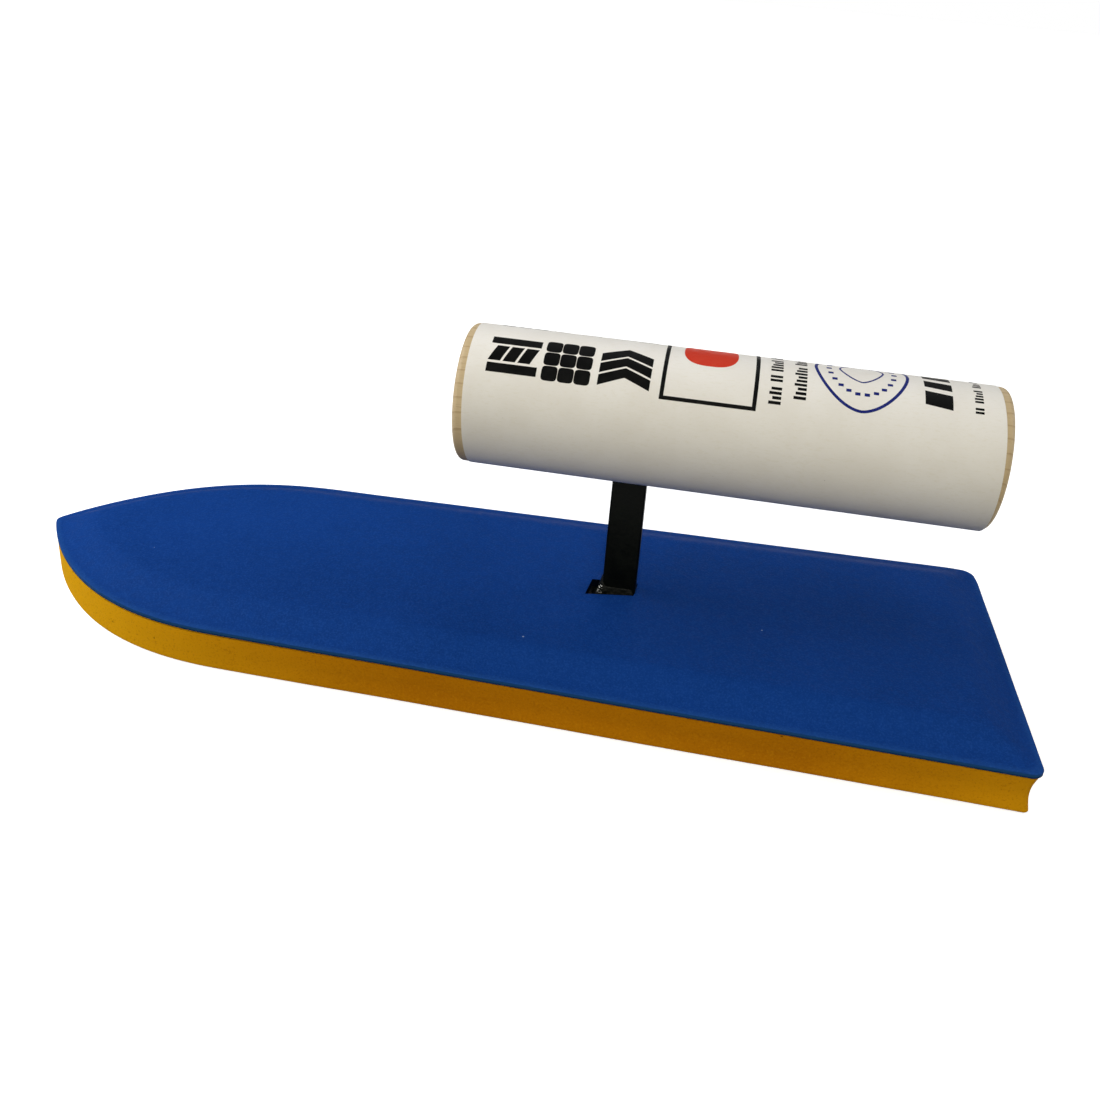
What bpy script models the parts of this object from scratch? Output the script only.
"""A boat-nosed rubber joint float: a rubber sole bonded to a hidden steel plate, a thin rubber skin over
the plate, a flat steel shank welded to the plate, and a turned wooden handle wrapped in a paper label."""

import math

import bmesh
import bpy
from mathutils import Vector

# Driving dimensions, in metres. +X runs from the nose to the heel, +Z is up, and the sole is at z = 0.
# The outline: straight sides that close in slightly towards the nose, and a pointed nose with a blunt tip.
LENGTH = 0.239
WIDTH = 0.088
TAPER = 0.007
NOSE_LENGTH = 0.0617
NOSE_POWER = 2.34
NOSE_BLUNTNESS = 0.863
TIP_RADIUS = 0.00125
TIP_REACH = 0.0010
HEEL_RADIUS = 0.0028
NOSE_STEPS = 22
SIDE_STEPS = 6
HEEL_STEPS = 5

# Bonded faces keep this gap, which the glue fills.
GLUE = 0.0003

# The sole: its die-cut wall is flush with the skin at the nose, and set in and slightly hollow at the heel.
PAD_HEIGHT = 0.0087
PAD_NOSE_INSET = 0.0001
PAD_SIDE_INSET = 0.0004
PAD_HEEL_GAP = 0.0006
PAD_HEEL_RADIUS = 0.0012
PAD_WALL_HOLLOW = 0.0006
PAD_EDGE_RADIUS = 0.0004
PAD_WALL_STEPS = 7
HOLLOW_START = -0.095
HOLLOW_LENGTH = 0.110

# The stiffening plate, on the sole.
PLATE_THICKNESS = 0.0025
PLATE_INSET = 0.0123
PLATE_TOP = PAD_HEIGHT + GLUE + PLATE_THICKNESS

# The skin over the plate: a thin rim, a slope, and a flat top.
SKIN_RIM_TOP = 0.0103
SKIN_TOP = 0.0137
SKIN_LIP = 0.0003
SKIN_SLOPE_START = 0.0010
SKIN_SLOPE_END = 0.0120
SKIN_UNDER_START = 0.0040
SKIN_UNDER_END = 0.0116
SKIN_SLOPE_STEPS = 8

# The shank, a flat bar that stands on the plate and runs into the handle as a tapered tang.
SHANK_X = 0.027
SHANK_WIDTH = 0.0081
SHANK_THICKNESS = 0.0035
SHANK_BOTTOM = PLATE_TOP + GLUE
TANG_WIDTH = 0.0060
TANG_TIP_WIDTH = 0.0040
TANG_LENGTH = 0.0215

# The skin's slot, cut by hand a little askew: (x from the shank's axis, y) of each corner.
SLOT_CORNERS = ((-0.0077, -0.0049), (0.00415, -0.0023), (0.0048, 0.0050), (-0.0070, 0.0027))

# The weld bead wraps the nose side and the near face of the shank: its corners at its foot and its top.
BEAD_FOOT = ((-0.0067, -0.0038), (0.0005, -0.0026), (0.0005, 0.0), (-0.0064, 0.0016))
BEAD_TOP = ((-0.0050, -0.0027), (-0.0010, -0.0024), (-0.0010, 0.0), (-0.0050, 0.0012))
BEAD_HEIGHT = 0.0053
BEAD_STEPS = 4

# The handle, a turned cylinder along X, and the label around it.
HANDLE_START = -0.0125
HANDLE_LENGTH = 0.118
HANDLE_HEIGHT = 0.0594
HANDLE_RADIUS = 0.0158
HANDLE_END_RADIUS = 0.0014
TURNED_STEPS = 96
LABEL_INNER_RADIUS = 0.01588
LABEL_OUTER_RADIUS = 0.0160
LABEL_START = -0.0103
LABEL_LENGTH = 0.1141
LABEL_SEAM = 0.0010
MORTISE_DEPTH = 0.0225
PIN_RADIUS = 0.0015
PIN_LENGTH = 0.0306
PIN_HEIGHT = HANDLE_HEIGHT
PIN_STEPS = 24

HEEL_X = LENGTH / 2
NOSE_START = NOSE_LENGTH - LENGTH / 2
HANDLE_CENTRE = Vector((HANDLE_START + HANDLE_LENGTH / 2, 0, HANDLE_HEIGHT))
HANDLE_BOTTOM = HANDLE_HEIGHT - LABEL_OUTER_RADIUS


def clear_scene():
    for obj in list(bpy.data.objects):
        bpy.data.objects.remove(obj)


def new_collection(name):
    collection = bpy.data.collections.new(name)
    bpy.context.scene.collection.children.link(collection)
    return collection


def new_material(name, color, roughness, metallic=0.0):
    material = bpy.data.materials.new(name)
    material.use_nodes = True
    shader = material.node_tree.nodes["Principled BSDF"]
    shader.inputs["Base Color"].default_value = (*color, 1)
    shader.inputs["Roughness"].default_value = roughness
    shader.inputs["Metallic"].default_value = metallic
    material.diffuse_color = (*color, 1)
    return material


def add_part(name, mesh, material):
    """A visible piece of the float, smooth but for its real edges."""
    obj = bpy.data.objects.new(name, mesh)
    obj.data.materials.append(material)
    obj.data.shade_smooth()
    obj.data.set_sharp_from_angle(angle=math.radians(35))
    parts.objects.link(obj)
    obj.parent = origin
    return obj


def add_cutter(name, mesh):
    obj = bpy.data.objects.new(name, mesh)
    obj.hide_render = True
    obj.display_type = "WIRE"
    cutters.objects.link(obj)
    obj.parent = origin
    return obj


def cut(obj, cutter):
    modifier = obj.modifiers.new("cut_" + cutter.name, "BOOLEAN")
    modifier.operation = "DIFFERENCE"
    modifier.solver = "EXACT"
    modifier.object = cutter


def bevel(obj, width, segments=2):
    modifier = obj.modifiers.new("bevel", "BEVEL")
    modifier.width = width
    modifier.segments = segments
    modifier.limit_method = "ANGLE"
    modifier.angle_limit = math.radians(40)


def half_width(x, inset):
    """Half the float's width at x, with its side moved in by inset."""
    side = WIDTH / 2 - inset - TAPER * (HEEL_X - x) / LENGTH
    along_nose = max(0.0, (NOSE_START - x) / (NOSE_LENGTH - inset))
    pointed = side * max(0.0, 1 - along_nose**NOSE_POWER) ** NOSE_BLUNTNESS
    from_tip = max(0.0, x - (NOSE_START - NOSE_LENGTH + inset))
    return math.sqrt(pointed**2 + 2 * TIP_RADIUS * from_tip * math.exp(-from_tip / TIP_REACH))


def outline(inset, heel_gap=0.0, heel_radius=HEEL_RADIUS):
    """The float's outline moved in by inset, as (x, y) points anticlockwise from the heel."""
    corner_x = HEEL_X - heel_gap - inset - heel_radius
    corner_y = half_width(corner_x, inset) - heel_radius
    half = []
    for step in range(HEEL_STEPS + 1):
        angle = math.pi / 2 * step / HEEL_STEPS
        half.append((corner_x + heel_radius * math.cos(angle), corner_y + heel_radius * math.sin(angle)))
    for step in range(1, SIDE_STEPS + 1):
        x = corner_x + (NOSE_START - corner_x) * step / SIDE_STEPS
        half.append((x, half_width(x, inset)))
    for step in range(1, NOSE_STEPS):
        # The steps shorten towards the tip, where the outline turns fastest.
        along_nose = 1 - (1 - step / NOSE_STEPS) ** 2
        x = NOSE_START - along_nose * (NOSE_LENGTH - inset)
        half.append((x, half_width(x, inset)))
    tip = (NOSE_START - NOSE_LENGTH + inset, 0.0)
    return half + [tip] + [(x, -y) for x, y in reversed(half)]


def loft(name, rings):
    """A closed mesh through rings of equal length, given from the bottom cap to the top cap."""
    bm = bmesh.new()
    levels = [[bm.verts.new(point) for point in ring] for ring in rings]
    bm.faces.new(reversed(levels[0]))
    bm.faces.new(levels[-1])
    for lower, upper in zip(levels, levels[1:]):
        for i in range(len(lower)):
            j = (i + 1) % len(lower)
            bm.faces.new((lower[i], lower[j], upper[j], upper[i]))
    bmesh.ops.recalc_face_normals(bm, faces=bm.faces)
    mesh = bpy.data.meshes.new(name)
    bm.to_mesh(mesh)
    bm.free()
    return mesh


def outline_loft(name, profile):
    """A loft of outlines, one for each (inset, height) of the profile."""
    return loft(name, [[(x, y, height) for x, y in outline(inset)] for inset, height in profile])


def plate_mesh(name, points, thickness):
    """A flat outline made into a closed mesh, centred on its own XY plane."""
    curve = bpy.data.curves.new(name, "CURVE")
    curve.dimensions = "2D"
    curve.fill_mode = "BOTH"
    curve.extrude = thickness / 2
    spline = curve.splines.new("POLY")
    spline.points.add(len(points) - 1)
    for point, (x, y) in zip(spline.points, points):
        point.co = (x, y, 0, 1)
    spline.use_cyclic_u = True
    obj = bpy.data.objects.new(name + "_curve", curve)
    bpy.context.scene.collection.objects.link(obj)
    graph = bpy.context.evaluated_depsgraph_get()
    mesh = bpy.data.meshes.new_from_object(obj.evaluated_get(graph))
    bpy.data.objects.remove(obj)
    bm = bmesh.new()
    bm.from_mesh(mesh)
    bmesh.ops.remove_doubles(bm, verts=bm.verts, dist=1e-6)
    bmesh.ops.recalc_face_normals(bm, faces=bm.faces)
    bm.to_mesh(mesh)
    bm.free()
    mesh.name = name
    return mesh


def box_mesh(name, size):
    bm = bmesh.new()
    bmesh.ops.create_cube(bm, size=1.0)
    bmesh.ops.scale(bm, vec=size, verts=bm.verts)
    mesh = bpy.data.meshes.new(name)
    bm.to_mesh(mesh)
    bm.free()
    return mesh


def rod_mesh(name, radius, length):
    bm = bmesh.new()
    bmesh.ops.create_cone(
        bm, cap_ends=True, segments=PIN_STEPS, radius1=radius, radius2=radius, depth=length
    )
    mesh = bpy.data.meshes.new(name)
    bm.to_mesh(mesh)
    bm.free()
    return mesh


def smooth_step(t):
    return t * t * (3 - 2 * t)


def slope(start, end, low, high, steps):
    """(inset, height) points of an S-shaped slope that rises from low at start to high at end."""
    points = []
    for step in range(steps + 1):
        t = step / steps
        points.append((start + (end - start) * t, low + (high - low) * smooth_step(t)))
    return points


def pad_ring(nose_inset, side_inset, height):
    """The sole's outline at one height, which changes from its nose's inset to its side's along the float."""
    ring = []
    nose = outline(nose_inset, PAD_HEEL_GAP, PAD_HEEL_RADIUS)
    side = outline(side_inset, PAD_HEEL_GAP, PAD_HEEL_RADIUS)
    for nose_point, side_point in zip(nose, side):
        share = smooth_step(min(max((nose_point[0] - HOLLOW_START) / HOLLOW_LENGTH, 0.0), 1.0))
        x, y = Vector(nose_point).lerp(Vector(side_point), share)
        ring.append((x, y, height))
    return ring


def make_base_pad(material):
    rings = [pad_ring(PAD_NOSE_INSET + PAD_EDGE_RADIUS, PAD_SIDE_INSET + PAD_EDGE_RADIUS, 0.0)]
    for step in range(PAD_WALL_STEPS + 1):
        t = step / PAD_WALL_STEPS
        height = PAD_EDGE_RADIUS + (PAD_HEIGHT - PAD_EDGE_RADIUS) * t
        hollow = PAD_WALL_HOLLOW * math.sin(math.pi * t)
        rings.append(pad_ring(PAD_NOSE_INSET, PAD_SIDE_INSET + hollow, height))
    return add_part("base_pad", loft("base_pad", rings), material)


def make_backing_plate(material):
    mesh = plate_mesh("backing_plate", outline(PLATE_INSET), PLATE_THICKNESS)
    plate = add_part("backing_plate", mesh, material)
    plate.location.z = PLATE_TOP - PLATE_THICKNESS / 2
    return plate


def make_top_skin(material):
    under = PAD_HEIGHT + GLUE
    profile = slope(SKIN_UNDER_START, SKIN_UNDER_END, under, PLATE_TOP + GLUE, SKIN_SLOPE_STEPS)[::-1]
    profile += [(SKIN_LIP, under), (0.0, under + SKIN_LIP), (0.0, SKIN_RIM_TOP - 1.2 * SKIN_LIP)]
    profile += [(SKIN_LIP, SKIN_RIM_TOP - 0.25 * SKIN_LIP)]
    profile += slope(SKIN_SLOPE_START, SKIN_SLOPE_END, SKIN_RIM_TOP, SKIN_TOP, SKIN_SLOPE_STEPS)
    skin = add_part("top_skin", outline_loft("top_skin", profile), material)
    corners = [(SHANK_X + x, y) for x, y in SLOT_CORNERS]
    slot = add_cutter("skin_slot", plate_mesh("skin_slot", corners, 2 * SKIN_TOP))
    slot.location.z = SKIN_TOP
    cut(skin, slot)
    return skin


def shank_outline():
    """The bar seen from its broad side, as (x, z) points from the foot round to the foot."""
    bar = SHANK_WIDTH / 2
    tang = TANG_WIDTH / 2
    tip = TANG_TIP_WIDTH / 2
    shoulder = HANDLE_BOTTOM + (LABEL_OUTER_RADIUS - HANDLE_RADIUS)
    top = shoulder + TANG_LENGTH
    right = [(bar, SHANK_BOTTOM), (bar, shoulder - 0.001), (tang, shoulder), (tang, PIN_HEIGHT), (tip, top)]
    return right + [(-x, z) for x, z in reversed(right)]


def make_shank(material):
    mesh = plate_mesh("shank", shank_outline(), SHANK_THICKNESS)
    shank = add_part("shank", mesh, material)
    shank.rotation_euler.x = math.pi / 2
    shank.location.x = SHANK_X
    bevel(shank, 0.0004)
    cut(shank, pin_hole)
    return shank


def make_foot_weld(material):
    """A bead that leans in as it rises, cut clear of the bar that it wraps."""
    rings = []
    for step in range(BEAD_STEPS + 1):
        t = step / BEAD_STEPS
        lean = math.sin(math.pi / 2 * t)
        height = SHANK_BOTTOM + BEAD_HEIGHT * (1 - math.cos(math.pi / 2 * t))
        ring = []
        for (foot_x, foot_y), (top_x, top_y) in zip(BEAD_FOOT, BEAD_TOP):
            x = SHANK_X + foot_x + (top_x - foot_x) * lean
            ring.append((x, foot_y + (top_y - foot_y) * lean, height))
        rings.append(ring)
    bead = add_part("foot_weld", loft("foot_weld", rings), material)
    size = (SHANK_WIDTH + 2 * GLUE, SHANK_THICKNESS + 2 * GLUE, 4 * BEAD_HEIGHT)
    clearance = add_cutter("bar_clearance", box_mesh("bar_clearance", size))
    clearance.location = (SHANK_X, 0, SHANK_BOTTOM)
    cut(bead, clearance)
    return bead


def handle_profile():
    """The handle's profile as (radius, distance along the axis), from one end's centre to the other's."""
    half = HANDLE_LENGTH / 2
    flat = HANDLE_RADIUS - HANDLE_END_RADIUS
    end = [(0.0, half)]
    for step in range(6):
        angle = math.pi / 2 * step / 5
        radius = flat + HANDLE_END_RADIUS * math.sin(angle)
        end.append((radius, half - HANDLE_END_RADIUS * (1 - math.cos(angle))))
    return end + [(radius, -along) for radius, along in reversed(end)]


def make_handle(material):
    profile = handle_profile()
    mesh = bpy.data.meshes.new("handle")
    points = [(radius, 0, along) for radius, along in profile]
    mesh.from_pydata(points, [(i, i + 1) for i in range(len(points) - 1)], [])
    handle = add_part("handle", mesh, material)
    turn = handle.modifiers.new("turn", "SCREW")
    turn.steps = TURNED_STEPS
    turn.render_steps = TURNED_STEPS
    turn.use_merge_vertices = True
    turn.merge_threshold = 1e-6
    turn.use_smooth_shade = True
    handle.rotation_euler.y = math.pi / 2
    handle.location = HANDLE_CENTRE
    size = (TANG_WIDTH + 2 * GLUE, SHANK_THICKNESS + 2 * GLUE, 2 * MORTISE_DEPTH)
    mortise = add_cutter("mortise", box_mesh("mortise", size))
    mortise.location = (SHANK_X, 0, HANDLE_HEIGHT - HANDLE_RADIUS)
    shoulder_size = (SHANK_WIDTH + 2 * GLUE, SHANK_THICKNESS + 2 * GLUE, 0.004)
    shoulder = add_cutter("shoulder_recess", box_mesh("shoulder_recess", shoulder_size))
    shoulder.location = (SHANK_X, 0, HANDLE_BOTTOM)
    cut(handle, mortise)
    cut(handle, shoulder)
    cut(handle, pin_hole)
    return handle


def make_label(material):
    """A wrap whose two edges meet under the handle, with a notch where the shank comes through."""
    gap = LABEL_SEAM / 2 / LABEL_OUTER_RADIUS
    turns = [gap + (2 * math.pi - 2 * gap) * step / TURNED_STEPS for step in range(TURNED_STEPS + 1)]
    outer = [(LABEL_OUTER_RADIUS * math.cos(a), LABEL_OUTER_RADIUS * math.sin(a)) for a in turns]
    inner = [(LABEL_INNER_RADIUS * math.cos(a), LABEL_INNER_RADIUS * math.sin(a)) for a in reversed(turns)]
    mesh = plate_mesh("label", outer + inner, LABEL_LENGTH)
    label = add_part("label", mesh, material)
    label.rotation_euler.y = math.pi / 2
    label.location = (LABEL_START + LABEL_LENGTH / 2, 0, HANDLE_HEIGHT)
    size = (SHANK_WIDTH + 4 * GLUE, SHANK_THICKNESS + 4 * GLUE, 0.006)
    notch = add_cutter("label_notch", box_mesh("label_notch", size))
    notch.location = (SHANK_X, 0, HANDLE_BOTTOM)
    cut(label, notch)
    return label


def make_tang_pin(material):
    pin = add_part("tang_pin", rod_mesh("tang_pin", PIN_RADIUS, PIN_LENGTH), material)
    pin.rotation_euler.x = math.pi / 2
    pin.location = (SHANK_X, 0, PIN_HEIGHT)
    return pin


clear_scene()
parts = new_collection("rubber_joint_float")
cutters = new_collection("cutters")
origin = bpy.data.objects.new("float_origin", None)
parts.objects.link(origin)

pin_hole = add_cutter("pin_hole", rod_mesh("pin_hole", PIN_RADIUS + GLUE, 4 * HANDLE_RADIUS))
pin_hole.rotation_euler.x = math.pi / 2
pin_hole.location = (SHANK_X, 0, PIN_HEIGHT)

make_base_pad(new_material("base_rubber", (0.62, 0.30, 0.01), 0.75))
make_backing_plate(new_material("plate_steel", (0.45, 0.45, 0.46), 0.45, 1.0))
make_top_skin(new_material("skin_rubber", (0.01, 0.05, 0.20), 0.80))
make_shank(new_material("shank_paint", (0.01, 0.01, 0.01), 0.40))
make_foot_weld(new_material("weld_steel", (0.16, 0.16, 0.16), 0.40, 1.0))
make_handle(new_material("handle_wood", (0.62, 0.44, 0.26), 0.60))
make_label(new_material("label_paper", (0.84, 0.81, 0.76), 0.65))
make_tang_pin(new_material("pin_steel", (0.50, 0.50, 0.50), 0.40, 1.0))
